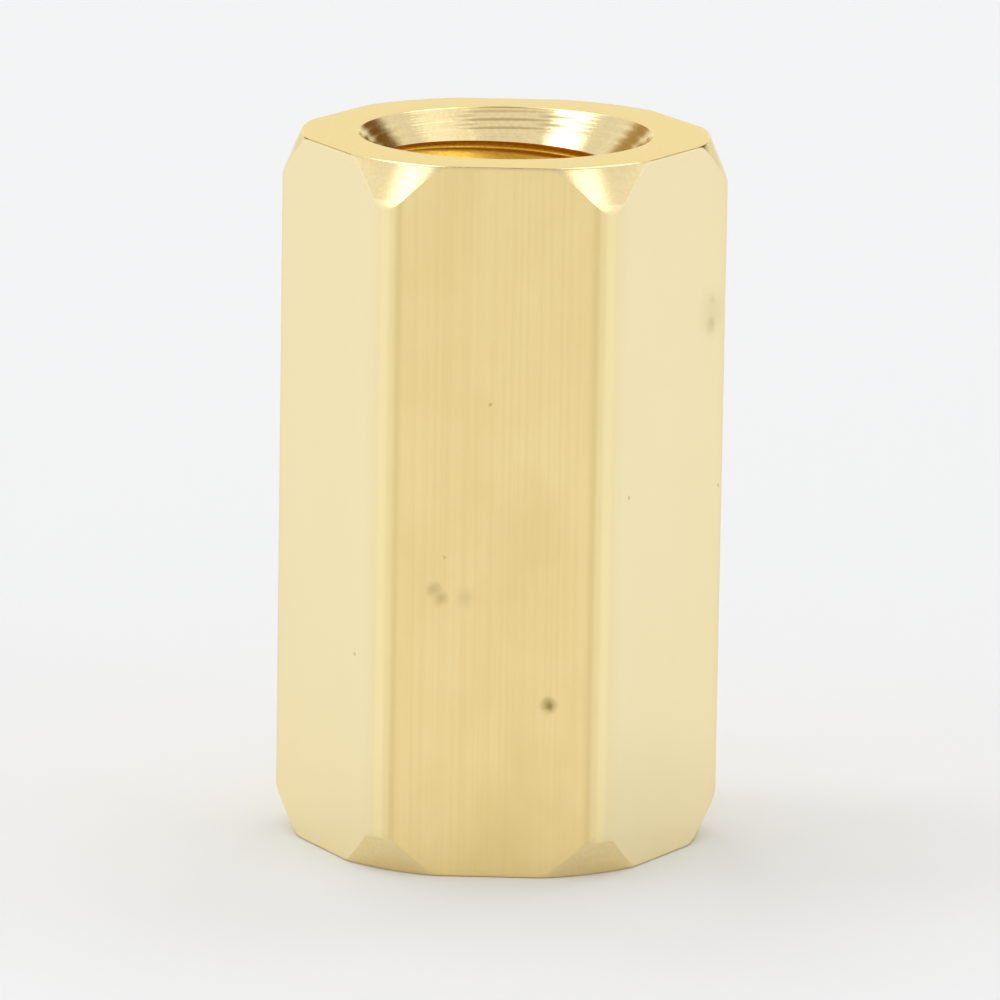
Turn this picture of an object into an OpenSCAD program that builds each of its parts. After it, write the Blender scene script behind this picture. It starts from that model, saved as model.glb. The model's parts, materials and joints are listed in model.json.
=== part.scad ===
// Hex standoff, female at both ends: a length of drawn hexagonal brass bar that a lathe has
// faced, chamfered, drilled through, countersunk at both mouths and tapped from end to end.
// Millimetres. The origin is the centre of the lower end face, and +Z runs up the bore.
// The flats face -Y, +Y and the four directions 60 degrees from them.

/* [Bar] */
// Distance across the flats of the hexagonal bar
across_flats = 8; // [7:0.5:12]
// Radius of the six long edges, as the drawing die leaves them
edge_radius = 0.75; // [0.3:0.05:1]
// Height from end face to end face
body_length = 14.5; // [7:0.5:80]

/* [Turned ends] */
// How far the round end face reaches past the distance across the flats
face_margin = 0.25; // [0.1:0.05:0.3]
// Slope of the chamfer, measured from the plane of the end face
chamfer_angle = 67; // [60:1:72]
// Radius that rolls the top of the chamfer over into the long edges
shoulder_radius = 1.2; // [0.6:0.1:1.5]

/* [Bore] */
// Nominal diameter of the thread
thread_d = 5; // [3:0.5:5]
// Pitch of the thread
thread_pitch = 0.8; // [0.5:0.1:1]
// Diameter of the countersink at its mouth
countersink_d = 6; // [5.4:0.1:6.6]
// Included angle of the countersink
countersink_angle = 90; // [82:2:120]

/* [Finish] */
// Colour of the bare brass
brass = "#d9c27e";

/* [Hidden] */

// Every cylinder and revolved surface counts as a true curve at this setting
$fn = 96;
// How far the cutting shapes pass the faces that they open
overshoot = 0.2;
// Steps in the arc that rolls the chamfer over
shoulder_steps = 4;
// How far the edge circles stand out, so that rounding leaves no sliver where they meet the flats
seam = 0.00001;

sides = 6;
side_angle = 360 / sides;

// The six edge circles have their centres on this radius, and the bar's crests lie on the next
edge_centre_r = (across_flats / 2 - edge_radius) / cos(side_angle / 2);
crest_r = edge_centre_r + edge_radius;

// Half the width of each flat, between the tangent lines of its two edge radii
flat_half = (across_flats / 2 - edge_radius) * tan(side_angle / 2);

// The end face is a disc a little wider than the flats, so each flat cuts a short chord off it
face_r = (across_flats + face_margin) / 2;

// The turned blank is a little wider than the crests, so that it clears them between the ends
blank_r = crest_r + 0.03;

// The shoulder arc is tangent to the chamfer and to the blank's side
shoulder_x = blank_r - shoulder_radius;
arc_start = [shoulder_x + shoulder_radius * sin(chamfer_angle),
             shoulder_radius * cos(chamfer_angle)];
chamfer_rise = (arc_start[0] - face_r) * tan(chamfer_angle);
shoulder_z = chamfer_rise + arc_start[1];

// A tapped hole's wall stands at the tapping drill's radius, between the two countersinks
bore_r = (thread_d - thread_pitch) / 2;
mouth_r = countersink_d / 2;
countersink_slope = tan(countersink_angle / 2);
countersink_depth = (mouth_r - bore_r) / countersink_slope;

// The bar's section: flats as a twelve-sided polygon through the tangent points, and a
// circle in each corner
module bar_section() {
    polygon([
        for (i = [0 : sides - 1], s = [-1, 1])
            let (a = -90 + i * side_angle)
            [across_flats / 2 * cos(a) - s * flat_half * sin(a),
             across_flats / 2 * sin(a) + s * flat_half * cos(a)]
    ]);
    for (i = [0 : sides - 1])
        translate(edge_centre_r * [cos(i * side_angle), sin(i * side_angle)])
            circle(r = edge_radius + seam);
}

// Half of the turned outline at one end, from the end face up to the blank's straight side
function end_outline() = concat(
    [[face_r, 0]],
    [for (i = [0 : shoulder_steps])
        let (a = chamfer_angle + (90 - chamfer_angle) * i / shoulder_steps)
        [shoulder_x + shoulder_radius * sin(a),
         shoulder_z - shoulder_radius * cos(a)]]
);

// The lathe's envelope: a round blank with a chamfer at each end
module turned_blank() {
    lower = end_outline();
    last = len(lower) - 1;
    upper = [for (i = [last : -1 : 0]) [lower[i][0], body_length - lower[i][1]]];
    rotate_extrude()
        polygon(concat([[0, 0]], lower, upper, [[0, body_length]]));
}

// The through hole and its two countersinks, open past both end faces
module tapped_hole() {
    flare_r = mouth_r + overshoot * countersink_slope;
    rotate_extrude()
        polygon([
            [0, -overshoot],
            [flare_r, -overshoot],
            [bore_r, countersink_depth],
            [bore_r, body_length - countersink_depth],
            [flare_r, body_length + overshoot],
            [0, body_length + overshoot]
        ]);
}

// The chamfer cones meet the flats in hyperbolas, which leave the scallops around each end
module hex_standoff() {
    color(brass)
    difference() {
        intersection() {
            linear_extrude(height = body_length) bar_section();
            turned_blank();
        }
        tapped_hole();
    }
}

hex_standoff();
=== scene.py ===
"""Looks of the brass hex standoff: drawn flats, turned ends and the helical M5 thread."""
import json
import math

import bmesh
import bpy
import numpy as np
from mathutils import Matrix, Vector


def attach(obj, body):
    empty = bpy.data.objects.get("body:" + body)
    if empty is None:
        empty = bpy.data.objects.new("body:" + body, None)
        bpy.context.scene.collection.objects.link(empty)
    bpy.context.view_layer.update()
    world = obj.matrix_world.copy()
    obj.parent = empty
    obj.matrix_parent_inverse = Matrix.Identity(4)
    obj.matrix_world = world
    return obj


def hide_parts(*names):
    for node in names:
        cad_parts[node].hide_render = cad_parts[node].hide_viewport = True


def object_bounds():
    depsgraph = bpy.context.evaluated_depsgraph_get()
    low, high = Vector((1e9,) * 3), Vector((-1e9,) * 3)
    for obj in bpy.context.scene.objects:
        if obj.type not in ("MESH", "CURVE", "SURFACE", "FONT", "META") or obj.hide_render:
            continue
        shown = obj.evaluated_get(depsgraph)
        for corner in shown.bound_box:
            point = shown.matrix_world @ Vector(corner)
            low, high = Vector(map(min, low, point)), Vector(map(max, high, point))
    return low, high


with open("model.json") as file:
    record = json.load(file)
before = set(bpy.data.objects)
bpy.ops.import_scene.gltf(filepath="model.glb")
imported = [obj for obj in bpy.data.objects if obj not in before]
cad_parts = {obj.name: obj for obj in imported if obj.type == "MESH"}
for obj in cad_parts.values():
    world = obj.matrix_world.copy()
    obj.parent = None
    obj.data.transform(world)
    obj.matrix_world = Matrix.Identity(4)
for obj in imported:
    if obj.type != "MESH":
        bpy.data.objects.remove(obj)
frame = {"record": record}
cad_low, cad_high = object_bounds()

MM = 0.001
MICRON = 1e-6
NODE = "hex_standoff"

# ---------------------------------------------------------------- dimensions, in millimetres

# From the frame: the box gives the bar, and the thread's mount gives the tapped hole.
thread_mount = next(m for m in frame["record"]["mounts"] if m["name"] == "thread")
ACROSS_FLATS = (cad_high.y - cad_low.y) / MM
CREST_R = (cad_high.x - cad_low.x) / MM / 2
LENGTH = (cad_high.z - cad_low.z) / MM
THREAD_CREST_R = thread_mount["dims"]["r_mm"]
COUNTERSINK_DEPTH = (LENGTH - thread_mount["dims"]["length_mm"]) / 2

# The long edges' radius follows from the width over flats and the width over edges.
SECANT = 1 / math.cos(math.radians(30))
EDGE_R = (ACROSS_FLATS / 2 * SECANT - CREST_R) / (SECANT - 1)
EDGE_CENTRE_R = CREST_R - EDGE_R
FLAT_HALF = (ACROSS_FLATS / 2 - EDGE_R) * math.tan(math.radians(30))

# The turned ends: a disc a little wider than the flats, a chamfer, and a shoulder that rolls the
# chamfer over into the long edges and reaches a little beyond them.
FACE_R = ACROSS_FLATS / 2 + 0.125
CHAMFER = math.radians(67)
SHOULDER_R = 1.2
SHOULDER_REACH = 0.03
SHOULDER_X = CREST_R + SHOULDER_REACH - SHOULDER_R
SHOULDER_DEPTH = (
    (SHOULDER_X + SHOULDER_R * math.sin(CHAMFER) - FACE_R) * math.tan(CHAMFER)
    + SHOULDER_R * math.cos(CHAMFER)
)
EDGE_BREAK = 0.06

# The countersinks, and the M5 x 0.8 thread between them.
COUNTERSINK_SLOPE = math.tan(math.radians(45))
MOUTH_R = THREAD_CREST_R + COUNTERSINK_DEPTH * COUNTERSINK_SLOPE
MOUTH_BREAK = 0.08
RING_FEED = 0.15
RING_HEIGHT = 0.004
# Part of the countersink over which the rings set in, and end.
RING_FADE = 1 / 6
PITCH = 0.8
THREAD_ROOT_R = 2.5
FLANK = math.radians(60)
THREAD_ROUND = 0.03
THREAD_GAP = 0.03
ROOT_FLAT = PITCH / 8
# Depth below the upper end at which the groove passes +Y, so that it runs out in the countersink.
GROOVE_DEPTH = 0.74

# How finely the mesh follows all that, and the angle above which an edge is shaded sharp.
FLAT_STEPS = 28
EDGE_STEPS = 10
SHOULDER_STEPS = 4
BREAK_STEPS = 5
MOUTH_STEPS = 4
CONE_STEPS = 22
WELD = 0.0002
CREASE = math.radians(38)

# Material slots of the mesh, in the order in which build_standoff adds them.
DRAWN, TURNED, TAPPED, FACED = range(4)
# How near to a cone, in millimetres, and how close to upright a normal counts as on it and level.
ON_CONE = 0.003
LEVEL = 0.95


# ---------------------------------------------------------------- the standoff's mesh

def column_angles():
    """Angles round the axis, from one flat's edge on: even over the flats, finer round the long edges."""
    edge = math.radians(30)
    tangent = math.atan2(FLAT_HALF, ACROSS_FLATS / 2)
    flat = np.linspace(-tangent, tangent, FLAT_STEPS + 1)[:-1]
    turn = np.linspace(-edge, edge, EDGE_STEPS + 1)[:-1]
    corner = edge + np.arctan2(EDGE_R * np.sin(turn), EDGE_CENTRE_R + EDGE_R * np.cos(turn))
    sector = np.concatenate([flat, corner])
    return np.concatenate([sector + math.radians(60 * k - 90) for k in range(6)])


def bar_radius(theta):
    """Distance from the axis to the surface of the drawn bar, in each direction theta."""
    from_flat = (theta + math.radians(120)) % math.radians(60) - math.radians(30)
    from_edge = math.radians(30) - np.abs(from_flat)
    on_flat = ACROSS_FLATS / 2 / np.cos(from_flat)
    inside = EDGE_R**2 - (EDGE_CENTRE_R * np.sin(from_edge)) ** 2
    on_edge = EDGE_CENTRE_R * np.cos(from_edge) + np.sqrt(np.maximum(inside, 0))
    tangent = math.atan2(FLAT_HALF, ACROSS_FLATS / 2)
    return np.where(np.abs(from_flat) > tangent, on_edge, on_flat)


def turned_end(theta):
    """Rows (radius, depth below the end face) from the side, over the chamfer, to the mouth's wall.

    Each row has one direction of the surface. Its points are those of the outline moved in by
    the edge break, held inside the bar, and moved out again, which rounds every edge alike.
    """
    limit = bar_radius(theta) - EDGE_BREAK
    face_r = FACE_R - EDGE_BREAK * math.tan(CHAMFER / 2)
    arc_r = SHOULDER_R - EDGE_BREAK
    arc_from = SHOULDER_X + arc_r * math.sin(CHAMFER)

    def depth(r):
        on_arc = SHOULDER_DEPTH - np.sqrt(np.maximum(arc_r**2 - (r - SHOULDER_X) ** 2, 0))
        on_cone = EDGE_BREAK + (r - face_r) * math.tan(CHAMFER)
        return np.where(r > arc_from, on_arc, np.maximum(on_cone, EDGE_BREAK))

    slope = math.pi / 2 - CHAMFER
    rows = []
    for up in np.linspace(0, slope, SHOULDER_STEPS + 1):
        rows.append((up, SHOULDER_X + arc_r * math.cos(up)))
    for up in np.linspace(slope, math.pi / 2, BREAK_STEPS + 1):
        rows.append((up, face_r))
    outline = []
    for up, wanted in rows:
        r = np.minimum(wanted, limit)
        outline.append((r + EDGE_BREAK * math.cos(up), depth(r) - EDGE_BREAK * math.sin(up)))
    return outline + mouth(theta)


def mouth(theta):
    """Rows from the end face, over the mouth's broken edge, down the countersink to the thread."""
    wall = math.pi / 2 - math.atan(COUNTERSINK_SLOPE)
    inner_r = MOUTH_R + MOUTH_BREAK * math.tan(wall / 2)
    rows = []
    for up in np.linspace(math.pi / 2, math.pi / 2 + wall, MOUTH_STEPS + 1):
        r = inner_r + MOUTH_BREAK * math.cos(up)
        rows.append((r + 0 * theta, MOUTH_BREAK * (1 - math.sin(up)) + 0 * theta))
    top = rows[-1][1][0]
    bottom = thread_room()
    for t in np.linspace(0, 1, CONE_STEPS + 1)[1:]:
        deep = top + (bottom - top) * t
        fade = min(1, t / RING_FADE, (1 - t) / RING_FADE)
        ring = RING_HEIGHT * fade * np.cos(2 * math.pi * deep / RING_FEED - theta)
        rows.append((cone_radius(deep) + ring * math.cos(wall), deep + ring * math.sin(wall)))
    return rows


def cone_radius(depth):
    """Radius of the countersink at a depth below its end face."""
    return MOUTH_R - depth * COUNTERSINK_SLOPE


def on_countersink(point):
    """Whether a point of the tapped wall lies on one of the countersinks."""
    depth = min(point.z, LENGTH - point.z)
    return abs(math.hypot(point.x, point.y) - cone_radius(depth)) < ON_CONE


def is_end_face(face):
    """Whether a turned face of the mesh is level, as the end faces are."""
    return abs(face.normal.z) > LEVEL


def thread_room():
    """Depth at which the countersink is a little wider than the thread's roots."""
    return (MOUTH_R - THREAD_ROOT_R) / COUNTERSINK_SLOPE - THREAD_GAP


def thread_turn():
    """Points (height, radius) of one turn's outline: crest, flank, root, flank, with rounded corners."""
    run = (THREAD_ROOT_R - THREAD_CREST_R) / math.tan(FLANK)
    crest_flat = PITCH - ROOT_FLAT - 2 * run
    cut = THREAD_ROUND * math.tan(FLANK / 2)
    level, out, back = (1, 0), (math.cos(FLANK), math.sin(FLANK)), (math.cos(FLANK), -math.sin(FLANK))
    corners = [
        ((crest_flat / 2, THREAD_CREST_R), level, out),
        ((crest_flat / 2 + run, THREAD_ROOT_R), out, level),
        ((crest_flat / 2 + run + ROOT_FLAT, THREAD_ROOT_R), level, back),
        ((crest_flat / 2 + 2 * run + ROOT_FLAT, THREAD_CREST_R), back, level),
    ]
    points = []
    for (z, r), before, after in corners:
        start = np.array([z - cut * before[0], r - cut * before[1]])
        end = np.array([z + cut * after[0], r + cut * after[1]])
        middle = ((start + end) / 2 * 2 + np.array([z, r])) / 3
        points += [start, middle, end]
    return np.array(points)


def thread_rows(theta):
    """Rows (radius, height) of the tapped wall, each following the helix upwards.

    Every straight stretch of the thread's outline has a row at each of its ends. Where a
    countersink has cut the stretch away, its rows move to the cut, or lie on the cone.
    """
    low = thread_room()
    high = LENGTH - low
    turn = thread_turn()
    following = np.vstack([turn[1:], turn[:1] + [PITCH, 0]])
    groove = LENGTH - GROOVE_DEPTH + PITCH * (theta / (2 * math.pi) - 0.25)
    turns_below = math.ceil((LENGTH - low) / PITCH) + 1
    turns_above = 3
    rows = []
    for k in range(-turns_below, turns_above):
        base = groove + (k - 0.5) * PITCH
        for (z1, r1), (z2, r2) in zip(turn, following):
            rows += cut_stretch(base + z1, r1 + 0 * theta, base + z2, r2 + 0 * theta, low, high)
    return rows


def cut_stretch(z1, r1, z2, r2, low, high):
    """The two ends (radius, height) of one stretch of thread, after both countersinks are cut."""
    for lower in (True, False):
        def cone(z):
            return cone_radius(z if lower else LENGTH - z)

        d1, d2 = r1 - cone(z1), r2 - cone(z2)
        mixed = (d1 < 0) != (d2 < 0)
        t = np.where(mixed, d1 / np.where(mixed, d1 - d2, 1), 0)
        cut_z, cut_r = z1 + (z2 - z1) * t, r1 + (r2 - r1) * t
        z1, r1, z2, r2 = (
            np.where(mixed & (d1 < 0), cut_z, z1),
            np.where(mixed & (d1 < 0), cut_r, r1),
            np.where(mixed & (d2 < 0), cut_z, z2),
            np.where(mixed & (d2 < 0), cut_r, r2),
        )
    ends = []
    for z, r in ((z1, r1), (z2, r2)):
        z = np.clip(z, low, high)
        cone = np.maximum(cone_radius(z), cone_radius(LENGTH - z))
        ends.append((np.maximum(r, cone), z))
    return ends


def grid(rows, theta, closed, inward):
    """Vertices and faces of a sheet whose rows (radius, height) run round the axis."""
    r = np.array([row[0] for row in rows])
    z = np.array([row[1] for row in rows])
    points = np.stack([r * np.cos(theta), r * np.sin(theta), z], axis=-1).reshape(-1, 3)
    wide = len(theta)
    faces = []
    for j in range(len(rows) - 1):
        for i in range(wide if closed else wide - 1):
            n = (i + 1) % wide
            face = (j * wide + i, j * wide + n, (j + 1) * wide + n, (j + 1) * wide + i)
            faces.append(face[::-1] if inward else face)
    return points, faces


def standoff_sheets():
    """The mesh as two sheets: the bar with both turned ends, and the tapped wall that joins them."""
    theta = column_angles()
    end = turned_end(theta)
    bottom = [(r, depth) for r, depth in reversed(end)]
    top = [(r, LENGTH - depth) for r, depth in end]
    outside, outside_faces = grid(bottom + top, theta, True, False)

    around = np.append(theta, theta[0] + 2 * math.pi)
    inside, inside_faces = grid(thread_rows(around), around, False, True)
    inside_faces = [tuple(v + len(outside) for v in face) for face in inside_faces]

    mesh = bpy.data.meshes.new("standoff")
    points = np.vstack([outside, inside]) * MM
    mesh.from_pydata(points.tolist(), [], outside_faces + inside_faces)

    row = np.arange(len(outside_faces)) // len(theta)
    side = (row >= len(end) - SHOULDER_STEPS - 1) & (row < len(end) + SHOULDER_STEPS)
    slots = np.append(np.where(side, DRAWN, TURNED), np.full(len(inside_faces), TAPPED))
    mesh.polygons.foreach_set("material_index", slots)
    return mesh


def weld_and_shade(mesh):
    """Makes the sheets one closed mesh, smooth but for its sharp edges, and sorts the cut faces."""
    work = bmesh.new()
    work.from_mesh(mesh)
    bmesh.ops.remove_doubles(work, verts=work.verts, dist=WELD * MM)
    bmesh.ops.dissolve_degenerate(work, edges=work.edges, dist=WELD * MM / 2)
    for face in work.faces:
        face.smooth = True
        if face.material_index == TURNED and is_end_face(face):
            face.material_index = FACED
        if face.material_index == TAPPED and on_countersink(face.calc_center_median() / MM):
            face.material_index = TURNED
    for edge in work.edges:
        edge.smooth = edge.is_manifold and edge.calc_face_angle() < CREASE
    work.to_mesh(mesh)
    work.free()


def build_standoff():
    mesh = standoff_sheets()
    weld_and_shade(mesh)
    for make in (drawn_brass, turned_brass, thread_brass, faced_brass):
        mesh.materials.append(make())
    standoff = bpy.data.objects.new("standoff", mesh)
    bpy.context.scene.collection.objects.link(standoff)
    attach(standoff, "root")
    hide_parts(NODE)


# ---------------------------------------------------------------- materials

def node(tree, kind, inputs=None, **settings):
    """Adds a shader node. inputs gives sockets a value, or another node's socket to follow."""
    made = tree.nodes.new("ShaderNode" + kind)
    for key, value in settings.items():
        setattr(made, key, value)
    for key, value in (inputs or {}).items():
        if isinstance(value, bpy.types.NodeSocket):
            tree.links.new(value, made.inputs[key])
        else:
            made.inputs[key].default_value = value
    return made


def math_node(tree, operation, *values):
    return node(tree, "Math", dict(enumerate(values)), operation=operation).outputs["Value"]


def vector_node(tree, operation, inputs, output="Vector"):
    return node(tree, "VectorMath", inputs, operation=operation).outputs[output]


def new_material(name):
    material = bpy.data.materials.new(name)
    material.use_nodes = True
    material.node_tree.nodes.clear()
    return material, material.node_tree


def millimetres(tree, scale=(1, 1, 1)):
    """Position on the object in millimetres, stretched by scale."""
    place = node(tree, "TexCoord")
    return node(tree, "Mapping", {"Vector": place.outputs["Object"],
                                  "Scale": [s / MM for s in scale]}).outputs["Vector"]


def noise(tree, scale, detail=3.0, roughness=0.5):
    """Noise on the object, with that many cells per millimetre along X, Y and Z."""
    made = node(tree, "TexNoise", {"Vector": millimetres(tree, scale), "Scale": 1.0,
                                   "Detail": detail, "Roughness": roughness})
    return made.outputs["Fac"]


def ramp(tree, value, low, high, to_low=0.0, to_high=1.0):
    """Goes from to_low to to_high while the value goes from low to high, and stays there."""
    made = node(tree, "MapRange", {"Value": value, "From Min": low, "From Max": high,
                                   "To Min": to_low, "To Max": to_high})
    return made.outputs["Result"]


def relief(tree, *layers):
    """The normal under several reliefs, each a pattern from 0 to 1 and its height in micrometres."""
    normal = None
    for pattern, microns in layers:
        inputs = {"Height": pattern, "Strength": 1.0, "Distance": microns * MICRON}
        if normal is not None:
            inputs["Normal"] = normal
        normal = node(tree, "Bump", inputs).outputs["Normal"]
    return normal


def mix(tree, factor, first, second):
    """The first colour where the factor is 0, the second where it is 1."""
    made = node(tree, "Mix", data_type="RGBA")
    for key, value in (("Factor_Float", factor), ("A_Color", first), ("B_Color", second)):
        socket = next(s for s in made.inputs if s.identifier == key)
        if isinstance(value, bpy.types.NodeSocket):
            tree.links.new(value, socket)
        else:
            socket.default_value = value
    return next(s for s in made.outputs if s.identifier == "Result_Color")


# Colours of the metal: as drawn, where it is duller, in the drawing lines and stains and in the painted
# dark reflection beside the long edges, a paler painted glancing reflection on the flats beside the X
# axis, a painted highlight on the rubbed edges, and at a glancing angle.
BRASS = (0.97, 0.765, 0.347, 1)
BRASS_DULL = (0.91, 0.705, 0.297, 1)
BRASS_LINE_AND_DARK_REFLECTION = (0.84, 0.635, 0.255, 1)
BRASS_GLANCING_REFLECTION = (1.0, 0.885, 0.55, 1)
BRASS_PAINTED_HIGHLIGHT = (1.0, 0.85, 0.43, 1)
DRAWN_GRAZING = (0.95, 0.80, 0.45, 1)
# End faces, chamfers with countersinks, the thread, deeper and darker as painted shade inside the hole,
# and the marks.
FACED_BRASS = (0.90, 0.725, 0.34, 1)
FACED_DULL = (0.87, 0.69, 0.31, 1)
CUT_BRASS = (0.92, 0.765, 0.43, 1)
CUT_DULL = (0.89, 0.71, 0.36, 1)
CUT_GRAZING = (0.98, 0.94, 0.72, 1)
THREAD_SHADED_BRASS = (0.86, 0.54, 0.08, 1)
THREAD_SHADED_DULL = (0.75, 0.43, 0.05, 1)
THREAD_GRAZING = (0.95, 0.75, 0.30, 1)
TARNISH = (0.36, 0.25, 0.06, 1)

# Roughness, smoothest and roughest. None of these ranges, with what is added to it, crosses 0.27:
# there the denoiser changes what it is guided by, and leaves squiggles along the border.
DRAWN_ROUGH = (0.20, 0.235)
CUT_ROUGH = (0.15, 0.21)
FACED_ROUGH = (0.29, 0.34)
THREAD_ROUGH = (0.28, 0.34)
STAIN_ROUGH = 0.03
RUBBED_ROUGH = -0.05

# Cells of noise per millimetre, along X, Y and Z, and for the lathe's rings across them.
STREAKS = (2.2, 2.2, 0.08)
LINES = (11, 11, 0.05)
MOTTLE = (0.8, 0.8, 0.5)
STAINS = (0.45, 0.45, 0.22)
DRAWN_GRAIN = (9, 9, 4)
CUT_GRAIN = (12, 12, 12)
THREAD_GRAIN = (14, 14, 14)
RINGS = 22.0
# Between which values of a noise the metal goes from smooth to rough, and from bright to dull.
GRAINY = (0.3, 0.7)
MOTTLED = (0.35, 0.7)

# Across a flat, in degrees from its middle: the edge of the flat, the painted dark reflection beside it,
# as a dull line, with its half width and the width over which it fades, and where the rubbed edge with
# its painted highlight starts and is full.
TANGENT = math.degrees(math.atan2(FLAT_HALF, ACROSS_FLATS / 2))
DARK_REFLECTION_MIDDLE = TANGENT + 1.2
DARK_REFLECTION_CORE, DARK_REFLECTION_WIDE = 0.3, 1.2
RUBBED_HIGHLIGHT_FROM, RUBBED_HIGHLIGHT_FULL = 28.2, 29.3
# The painted dark reflection is plain on the flats beyond this distance from the XZ plane, and faint on
# the others.
DARK_REFLECTION_PLAIN_FROM, DARK_REFLECTION_PLAIN_FULL = 3.85, 3.95
DARK_REFLECTION_FAINT = 0.2
# Distance from the YZ plane over which a paler tone is painted on the metal as a glancing reflection, and
# how pale it gets.
GLANCING_REFLECTION_FROM, GLANCING_REFLECTION_FULL = 1.9, 2.6
GLANCING_REFLECTION = 0.85

# Marks on the drawn faces: place and radius in millimetres, and strength.
MARKS = (
    ((1.17, -4.0, 3.58), 0.21, 1.0),
    ((-1.16, -4.0, 5.93), 0.21, 0.38),
    ((-1.05, -4.0, 5.74), 0.21, 0.42),
    ((-0.55, -4.0, 5.78), 0.26, 0.18),
    ((4.24, -0.65, 11.25), 0.24, 0.24),
    ((4.26, -0.62, 11.0), 0.62, 0.16),
    ((4.23, -0.67, 10.8), 0.30, 0.38),
)
# The part of the radius that is solid, and how far and how finely the marks' outlines wander.
MARK_CORE = 0.15
MARK_WANDER = 0.16
WANDER_CELLS = 5.0
# Specks: cells per millimetre, the chance above which a cell has one, largest radius, soft rim
# and strength.
SPECK_CELLS = 1.1
SPECK_CHANCE = 0.55
SPECK_R = 0.06
SPECK_RIM = 0.02
SPECK = 0.45


def finish_brass(tree, color, rough, normal, coat=0.0, sheen=0.0, grazing=(1, 1, 1, 1)):
    """The metal's shader; grazing tints what it reflects at a glancing angle."""
    shader = node(tree, "BsdfPrincipled", {"Base Color": color, "Metallic": 1.0, "Roughness": rough,
                                           "Normal": normal, "Specular Tint": grazing,
                                           "Coat Weight": coat, "Coat Roughness": 0.25, "Coat IOR": 1.5,
                                           "Sheen Weight": sheen, "Sheen Roughness": 0.55})
    out = node(tree, "OutputMaterial")
    tree.links.new(shader.outputs["BSDF"], out.inputs["Surface"])


def grainy(tree, grain, rough):
    """Roughness that follows the grain."""
    return ramp(tree, grain, *GRAINY, *rough)


def tinted(tree, color, *tints):
    """The colour after several tints: a pattern, where it starts and is full, strength, colour."""
    for pattern, low, high, strength, tint in tints:
        color = mix(tree, ramp(tree, pattern, low, high, 0.0, strength), color, tint)
    return color


def from_flat_centre(tree):
    """Angle round the axis from the middle of the nearest flat, in degrees, 0 to 30."""
    place = node(tree, "SeparateXYZ", {"Vector": millimetres(tree)}).outputs
    angle = math_node(tree, "ARCTAN2", place["Y"], place["X"])
    angle = math_node(tree, "MULTIPLY", angle, 180 / math.pi)
    angle = math_node(tree, "ADD", angle, 270.0)
    return math_node(tree, "PINGPONG", angle, 30.0)


def marks(tree):
    """0 on clean metal, up to 1 in the middle of a mark."""
    wander = node(tree, "TexNoise", {"Vector": millimetres(tree), "Scale": WANDER_CELLS, "Detail": 2.0})
    shift = vector_node(tree, "SUBTRACT", {0: wander.outputs["Color"], 1: (0.5, 0.5, 0.5)})
    shift = vector_node(tree, "SCALE", {0: shift, "Scale": MARK_WANDER})
    place = vector_node(tree, "ADD", {0: millimetres(tree), 1: shift})
    total = specks(tree, place)
    for middle, radius, strength in MARKS:
        away = vector_node(tree, "DISTANCE", {0: place, 1: middle}, "Value")
        spot = ramp(tree, away, radius, radius * MARK_CORE, 0.0, strength)
        total = math_node(tree, "MAXIMUM", total, spot)
    return total


def specks(tree, place):
    """A small round speck in some of the cells that space is divided into."""
    cells = node(tree, "TexVoronoi", {"Vector": place, "Scale": SPECK_CELLS, "Randomness": 1.0}).outputs
    chance = node(tree, "SeparateColor", {"Color": cells["Color"]}).outputs["Red"]
    size = ramp(tree, chance, SPECK_CHANCE, 1.0, 0.0, SPECK_R)
    inside = math_node(tree, "SUBTRACT", size, cells["Distance"])
    return ramp(tree, inside, 0.0, SPECK_RIM, 0.0, SPECK)


def dark_edge_reflection(tree, across, place):
    """A dark reflection painted as a dull line on both sides of each long edge."""
    away = math_node(tree, "ABSOLUTE", math_node(tree, "SUBTRACT", across, DARK_REFLECTION_MIDDLE))
    dark_reflection = ramp(tree, away, DARK_REFLECTION_WIDE, DARK_REFLECTION_CORE)
    to_front = math_node(tree, "ABSOLUTE", place["Y"])
    plain = ramp(tree, to_front, DARK_REFLECTION_PLAIN_FROM, DARK_REFLECTION_PLAIN_FULL, DARK_REFLECTION_FAINT, 1.0)
    return math_node(tree, "MULTIPLY", dark_reflection, plain)


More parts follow.
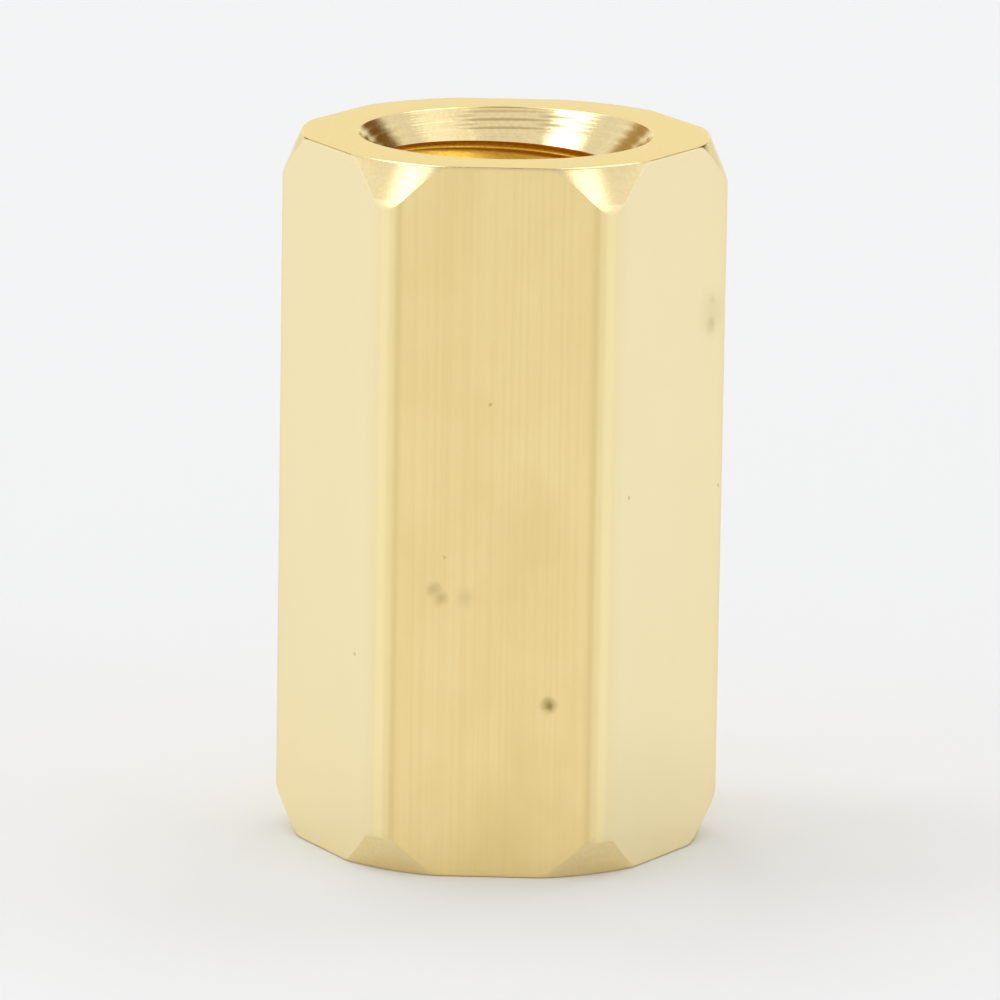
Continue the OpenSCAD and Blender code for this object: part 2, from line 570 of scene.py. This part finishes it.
def drawn_brass():
    """Flats and long edges: drawing lines along the bar, soft stains, rubbed edges with a painted
    highlight, a painted dark reflection beside them, a paler tone painted on the side flats as a glancing
    reflection, and a few marks.
    """
    material, tree = new_material("drawn_brass")
    streaks = noise(tree, STREAKS, 3)
    lines = noise(tree, LINES, 3, 0.6)
    mottle = noise(tree, MOTTLE, 3)
    stains = noise(tree, STAINS, 4, 0.6)
    grain = noise(tree, DRAWN_GRAIN, 2)
    spots = marks(tree)

    pitted = math_node(tree, "SUBTRACT", 1.0, spots)
    normal = relief(tree, (mottle, 12), (lines, 0.9), (grain, 0.5), (pitted, 20))

    across = from_flat_centre(tree)
    place = node(tree, "SeparateXYZ", {"Vector": millimetres(tree)}).outputs
    rubbed_highlight = ramp(tree, across, RUBBED_HIGHLIGHT_FROM, RUBBED_HIGHLIGHT_FULL)
    glancing_reflection = ramp(tree, math_node(tree, "ABSOLUTE", place["X"]), GLANCING_REFLECTION_FROM, GLANCING_REFLECTION_FULL, 0.0, GLANCING_REFLECTION)
    color = tinted(
        tree, BRASS,
        (mottle, *MOTTLED, 1.0, BRASS_DULL),
        (streaks, 0.42, 0.7, 0.5, BRASS_DULL),
        (lines, 0.45, 0.7, 0.35, BRASS_LINE_AND_DARK_REFLECTION),
        (stains, 0.52, 0.68, 0.4, BRASS_LINE_AND_DARK_REFLECTION),
    )
    # Painted dark reflection: a dull line beside each long edge.
    color = mix(tree, dark_edge_reflection(tree, across, place), color, BRASS_LINE_AND_DARK_REFLECTION)
    # Painted glancing reflection: a paler tone on the flats beside the X axis.
    color = mix(tree, glancing_reflection, color, BRASS_GLANCING_REFLECTION)
    # Painted highlight along the long edges, where they are also smoother from rubbing.
    color = mix(tree, rubbed_highlight, color, BRASS_PAINTED_HIGHLIGHT)
    color = mix(tree, spots, color, TARNISH)

    rough = grainy(tree, grain, DRAWN_ROUGH)
    rough = math_node(tree, "ADD", rough, ramp(tree, stains, 0.5, 0.7, 0.0, STAIN_ROUGH))
    rough = math_node(tree, "ADD", rough, math_node(tree, "MULTIPLY", rubbed_highlight, RUBBED_ROUGH))
    finish_brass(tree, color, rough, normal, coat=0.6, sheen=0.25, grazing=DRAWN_GRAZING)
    return material


def lathe_marks(tree):
    """Fine rings round the axis: a noise that follows the radius and the height only."""
    place = node(tree, "SeparateXYZ", {"Vector": millimetres(tree)}).outputs
    flat = node(tree, "CombineXYZ", {"X": place["X"], "Y": place["Y"]}).outputs["Vector"]
    radius = vector_node(tree, "LENGTH", {0: flat}, "Value")
    both = node(tree, "CombineXYZ", {"X": radius, "Y": place["Z"]}).outputs["Vector"]
    return node(tree, "TexNoise", {"Vector": both, "Scale": RINGS, "Detail": 2.0}).outputs["Fac"]


def lathe_brass(name, bright, dull, rough):
    """Metal that was turned: bright, with fine rings and a little grain."""
    material, tree = new_material(name)
    rings = lathe_marks(tree)
    grain = noise(tree, CUT_GRAIN, 2)
    normal = relief(tree, (rings, 1.6), (grain, 0.8))
    color = tinted(tree, bright, (grain, *MOTTLED, 1.0, dull), (rings, 0.5, 0.75, 0.6, dull))
    finish_brass(tree, color, grainy(tree, grain, rough), normal, grazing=CUT_GRAZING)
    return material


def turned_brass():
    """Chamfers and countersinks."""
    return lathe_brass("turned_brass", CUT_BRASS, CUT_DULL, CUT_ROUGH)


def faced_brass():
    """End faces."""
    return lathe_brass("faced_brass", FACED_BRASS, FACED_DULL, FACED_ROUGH)


def thread_brass():
    """The tapped wall: brass of a deeper, darker yellow than the rest, painted as the shade and
    inter-reflection inside the hole.
    """
    material, tree = new_material("thread_brass")
    grain = noise(tree, THREAD_GRAIN, 2)
    normal = relief(tree, (grain, 0.8))
    # Painted shade: the thread's deeper, darker yellow stands in for the shade inside the hole.
    color = tinted(tree, THREAD_SHADED_BRASS, (grain, *MOTTLED, 1.0, THREAD_SHADED_DULL))
    finish_brass(tree, color, grainy(tree, grain, THREAD_ROUGH), normal, grazing=THREAD_GRAZING)
    return material


# ---------------------------------------------------------------- the studio, in metres

FLOOR = (0.866, 0.882, 0.904, 1)
FLOOR_HALF = 2.0

# The sky's level, by the unit vector of a direction: full where Z is up to LOW_SKY and OVERHEAD
# from HIGH_SKY on, times IN_FRONT straight toward -Y, which rises to full where Y is BEHIND.
LOW_SKY, HIGH_SKY = 0.45, 0.9
OVERHEAD = 0.60
IN_FRONT = 0.8
BEHIND = 0.1
# Dark patches of the sky: azimuth, elevation, inner and outer radius in degrees, and colour.
FLAGS = (
    (57, 18, 10, 18, (0.16, 0.07, 0.0, 1)),
    (124, 19, 8, 15, (0.40, 0.27, 0.10, 1)),
    (90, 73, 16, 26, (0.20, 0.11, 0.03, 1)),
)
# Square lamps: name, azimuth, elevation, distance, half angle that it fills, and radiance.
LAMPS = (
    ("front_left", -145, 31, 0.8, 8, 1.6),
    ("front_right", -39, 32, 0.8, 7.5, 1.35),
    ("high_right", 6, 60, 0.8, 14, 0.45),
    ("high_left", 172, 60, 0.8, 9, 3.1),
    ("top", -90, 79, 0.8, 18, 0.30),
    ("back_right", 58, 60, 1.0, 10, 2.7),
    ("back_left", 122, 60, 1.0, 10, 2.7),
)

CAMERA_PLACE = (0.00579, -0.19329, 0.04913)
CAMERA_TARGET = (0.0, 0.0, 0.0069)
CAMERA_ROLL = math.radians(0.9)
CAMERA_LENS = 350


def floor_material():
    material, tree = new_material("pale_floor")
    shader = node(tree, "BsdfPrincipled", {"Base Color": FLOOR, "Roughness": 0.8,
                                           "Specular IOR Level": 0.2})
    out = node(tree, "OutputMaterial")
    tree.links.new(shader.outputs["BSDF"], out.inputs["Surface"])
    return material


def build_floor():
    half = FLOOR_HALF
    mesh = bpy.data.meshes.new("floor")
    mesh.from_pydata([(-half, -half, 0), (half, -half, 0), (half, half, 0), (-half, half, 0)],
                     [], [(0, 1, 2, 3)])
    mesh.materials.append(floor_material())
    floor = bpy.data.objects.new("floor", mesh)
    bpy.context.scene.collection.objects.link(floor)


def softbox(name, place, target, size, radiance):
    """A square lamp whose face has that radiance, turned to the target."""
    lamp = bpy.data.lights.new(name, "AREA")
    lamp.shape = "SQUARE"
    lamp.size = size
    lamp.energy = radiance * math.pi * size**2
    made = bpy.data.objects.new(name, lamp)
    made.location = place
    made.rotation_mode = "QUATERNION"
    made.rotation_quaternion = (Vector(target) - Vector(place)).to_track_quat("-Z", "Y")
    made.visible_camera = False
    bpy.context.scene.collection.objects.link(made)


def direction(azimuth, elevation):
    """Unit vector for an azimuth from +X and an elevation, in degrees."""
    a, e = math.radians(azimuth), math.radians(elevation)
    return Vector((math.cos(e) * math.cos(a), math.cos(e) * math.sin(a), math.sin(e)))


def patch(tree, way, azimuth, elevation, inner, outer):
    """1 inside a round patch of the sky, 0 outside it; radii in degrees."""
    toward = vector_node(tree, "DOT_PRODUCT", {0: way, 1: direction(azimuth, elevation)}, "Value")
    return ramp(tree, toward, math.cos(math.radians(outer)), math.cos(math.radians(inner)))


def build_world():
    """A white room: brightest at the horizon behind the part, dimmer in front and overhead,
    with dark flags behind and above the part that give the bore its depth."""
    world = bpy.data.worlds.new("studio")
    bpy.context.scene.world = world
    world.use_nodes = True
    tree = world.node_tree
    tree.nodes.clear()
    way = node(tree, "TexCoord").outputs["Generated"]
    axes = node(tree, "SeparateXYZ", {"Vector": way}).outputs
    height = ramp(tree, axes["Z"], LOW_SKY, HIGH_SKY, 1.0, OVERHEAD)
    depth = ramp(tree, axes["Y"], -1, BEHIND, IN_FRONT, 1.0)
    level = math_node(tree, "MULTIPLY", height, depth)
    color = mix(tree, level, (0, 0, 0, 1), (1, 1, 1, 1))
    for azimuth, elevation, inner, outer, shade in FLAGS:
        color = mix(tree, patch(tree, way, azimuth, elevation, inner, outer), color, shade)
    back = node(tree, "Background", {"Color": color, "Strength": 1.0})
    out = node(tree, "OutputWorld")
    tree.links.new(back.outputs["Background"], out.inputs["Surface"])


def build_light():
    build_world()
    for name, azimuth, elevation, distance, half_angle, radiance in LAMPS:
        size = 2 * distance * math.tan(math.radians(half_angle))
        softbox(name, direction(azimuth, elevation) * distance, (0, 0, 0), size, radiance)


def build_camera():
    data = bpy.data.cameras.new("camera")
    data.sensor_width = 36
    data.lens = CAMERA_LENS
    data.clip_start = 0.01
    camera = bpy.data.objects.new("camera", data)
    aim = (Vector(CAMERA_TARGET) - Vector(CAMERA_PLACE)).to_track_quat("-Z", "Y")
    camera.rotation_mode = "QUATERNION"
    camera.rotation_quaternion = aim @ Matrix.Rotation(CAMERA_ROLL, 3, "Z").to_quaternion()
    camera.location = CAMERA_PLACE
    bpy.context.scene.collection.objects.link(camera)
    bpy.context.scene.camera = camera


bpy.context.scene.view_settings.view_transform = "Standard"
build_standoff()
build_floor()
build_light()
build_camera()
